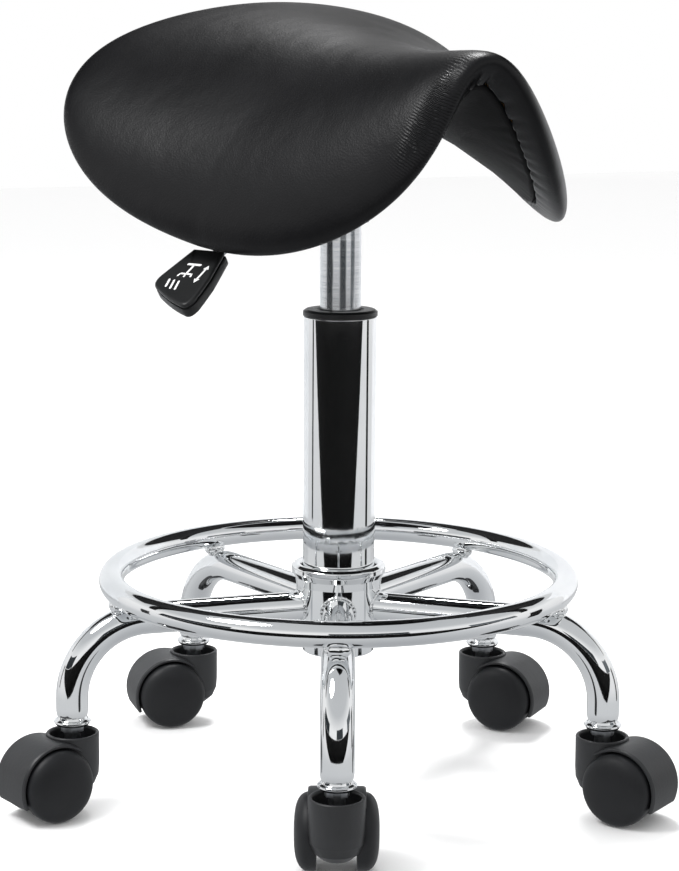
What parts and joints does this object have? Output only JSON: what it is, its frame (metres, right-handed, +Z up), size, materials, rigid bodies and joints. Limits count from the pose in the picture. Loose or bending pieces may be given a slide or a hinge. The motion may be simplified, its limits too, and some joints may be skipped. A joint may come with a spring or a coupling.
{
  "type": "adjustable swivel stool",
  "caption": "Padded saddle seat on a height-adjustable swivel gas lift with release lever, a tubular leg base with foot ring, and twin-wheel swivel casters.",
  "frame": {"origin": "On the floor, where the lift column's axis meets it", "axes": "+Z up along the lift column, the front of the seat points along -Y, the user's right hand and the release lever are on -X"},
  "size_m": [0.4515, 0.407, 0.5446],
  "materials": {
    "chrome": "mirror-polished plating",
    "steel": "turned and zinc-plated",
    "black_steel": "black powder coat",
    "plastic": "fine-grained moulded nylon, charcoal",
    "tread": "smooth moulded wheel, charcoal",
    "rubber": "matt",
    "nylon": "natural moulded, satin",
    "pu_leather": "black coated upholstery with a soft sheen",
    "fabric": "black non-woven lining",
    "plywood": "moulded laminate, satin"
  },
  "bodies": {
    "base": {"base_hub": "chrome", "leg_1": "chrome", "leg_2": "chrome", "leg_3": "chrome", "leg_4": "chrome", "leg_5": "chrome", "leg_socket_1": "chrome", "leg_socket_2": "chrome", "leg_socket_3": "chrome", "leg_socket_4": "chrome", "leg_socket_5": "chrome", "caster_stem_1": "steel", "caster_stem_2": "steel", "caster_stem_3": "steel", "caster_stem_4": "steel", "caster_stem_5": "steel", "foot_ring": "chrome", "lift_tube": "chrome", "lift_cap": "plastic", "guide_sleeve": "nylon", "thrust_bearing": "steel"},
    "spindle": {"piston_rod": "steel", "retaining_clip": "steel", "bumper": "rubber"},
    "seat": {"gas_cylinder": "chrome", "seat_plate": "black_steel", "seat_bolt_1": "steel", "seat_bolt_2": "steel", "seat_bolt_3": "steel", "seat_bolt_4": "steel", "seat_shell": "plywood", "seat_cushion": "pu_leather", "under_cover": "fabric"},
    "lever": {"lever_rod": "steel", "lever_handle": "plastic"},
    "button": {"release_button": "steel"},
    "caster_1": {"caster_housing_1": "plastic", "caster_axle_1": "steel"},
    "caster_2": {"caster_housing_2": "plastic", "caster_axle_2": "steel"},
    "caster_3": {"caster_housing_3": "plastic", "caster_axle_3": "steel"},
    "caster_4": {"caster_housing_4": "plastic", "caster_axle_4": "steel"},
    "caster_5": {"caster_housing_5": "plastic", "caster_axle_5": "steel"},
    "wheel_1a": {"wheel_1a": "tread"},
    "wheel_1b": {"wheel_1b": "tread"},
    "wheel_2a": {"wheel_2a": "tread"},
    "wheel_2b": {"wheel_2b": "tread"},
    "wheel_3a": {"wheel_3a": "tread"},
    "wheel_3b": {"wheel_3b": "tread"},
    "wheel_4a": {"wheel_4a": "tread"},
    "wheel_4b": {"wheel_4b": "tread"},
    "wheel_5a": {"wheel_5a": "tread"},
    "wheel_5b": {"wheel_5b": "tread"}
  },
  "joints": [
    {"name": "seat_swivel", "type": "hinge", "parent": "base", "child": "spindle", "pos_m": [0, 0, 0.09], "axis": [0, 0, 1], "continuous": true},
    {"name": "height_slide", "type": "slide", "parent": "spindle", "child": "seat", "axis": [0, 0, 1], "range_m": [-0.042, 0.085]},
    {"name": "lever_lift", "type": "hinge", "parent": "seat", "child": "lever", "pos_m": [-0.02684, -0.00292, 0.4103], "axis": [-0.108, 0.9942, 0], "range_deg": [0, 4], "stiffness_Nm_per_rad": 3, "springref_deg": -5.73},
    {"name": "button_press", "type": "slide", "parent": "seat", "child": "button", "axis": [0, 0, -1], "range_m": [0, 0.003], "stiffness_N_per_m": 300, "springref_m": -0.001},
    {"name": "caster_1_swivel", "type": "hinge", "parent": "base", "child": "caster_1", "pos_m": [-0.08795, -0.16752, 0.05], "axis": [0, 0, 1], "continuous": true},
    {"name": "caster_2_swivel", "type": "hinge", "parent": "base", "child": "caster_2", "pos_m": [0.13214, -0.13541, 0.05], "axis": [0, 0, 1], "continuous": true},
    {"name": "caster_3_swivel", "type": "hinge", "parent": "base", "child": "caster_3", "pos_m": [0.16962, 0.08383, 0.05], "axis": [0, 0, 1], "continuous": true},
    {"name": "caster_4_swivel", "type": "hinge", "parent": "base", "child": "caster_4", "pos_m": [-0.02731, 0.18722, 0.05], "axis": [0, 0, 1], "continuous": true},
    {"name": "caster_5_swivel", "type": "hinge", "parent": "base", "child": "caster_5", "pos_m": [-0.18649, 0.03188, 0.05], "axis": [0, 0, 1], "continuous": true},
    {"name": "wheel_1a_spin", "type": "hinge", "parent": "caster_1", "child": "wheel_1a", "pos_m": [-0.07819, -0.14893, 0.025], "axis": [-0.8854, 0.4648, 0], "continuous": true},
    {"name": "wheel_1b_spin", "type": "hinge", "parent": "caster_1", "child": "wheel_1b", "pos_m": [-0.07819, -0.14893, 0.025], "axis": [-0.8854, 0.4648, 0], "continuous": true},
    {"name": "wheel_2a_spin", "type": "hinge", "parent": "caster_2", "child": "wheel_2a", "pos_m": [0.14184, -0.15404, 0.025], "axis": [0.887, 0.4618, 0], "continuous": true},
    {"name": "wheel_2b_spin", "type": "hinge", "parent": "caster_2", "child": "wheel_2b", "pos_m": [0.14184, -0.15404, 0.025], "axis": [0.887, 0.4618, 0], "continuous": true},
    {"name": "wheel_3a_spin", "type": "hinge", "parent": "caster_3", "child": "wheel_3a", "pos_m": [0.18205, 0.06691, 0.025], "axis": [0.8059, 0.592, 0], "continuous": true},
    {"name": "wheel_3b_spin", "type": "hinge", "parent": "caster_3", "child": "wheel_3b", "pos_m": [0.18205, 0.06691, 0.025], "axis": [0.8059, 0.592, 0], "continuous": true},
    {"name": "wheel_4a_spin", "type": "hinge", "parent": "caster_4", "child": "wheel_4a", "pos_m": [-0.04798, 0.19094, 0.025], "axis": [-0.1771, -0.9842, 0], "continuous": true},
    {"name": "wheel_4b_spin", "type": "hinge", "parent": "caster_4", "child": "wheel_4b", "pos_m": [-0.04798, 0.19094, 0.025], "axis": [-0.1771, -0.9842, 0], "continuous": true},
    {"name": "wheel_5a_spin", "type": "hinge", "parent": "caster_5", "child": "wheel_5a", "pos_m": [-0.20717, 0.02823, 0.025], "axis": [0.1736, -0.9848, 0], "continuous": true},
    {"name": "wheel_5b_spin", "type": "hinge", "parent": "caster_5", "child": "wheel_5b", "pos_m": [-0.20717, 0.02823, 0.025], "axis": [0.1736, -0.9848, 0], "continuous": true}
  ],
  "couplings": [
    {"joint": "button_press", "follows": "lever_lift", "m_per_rad": 0.0265}
  ]
}
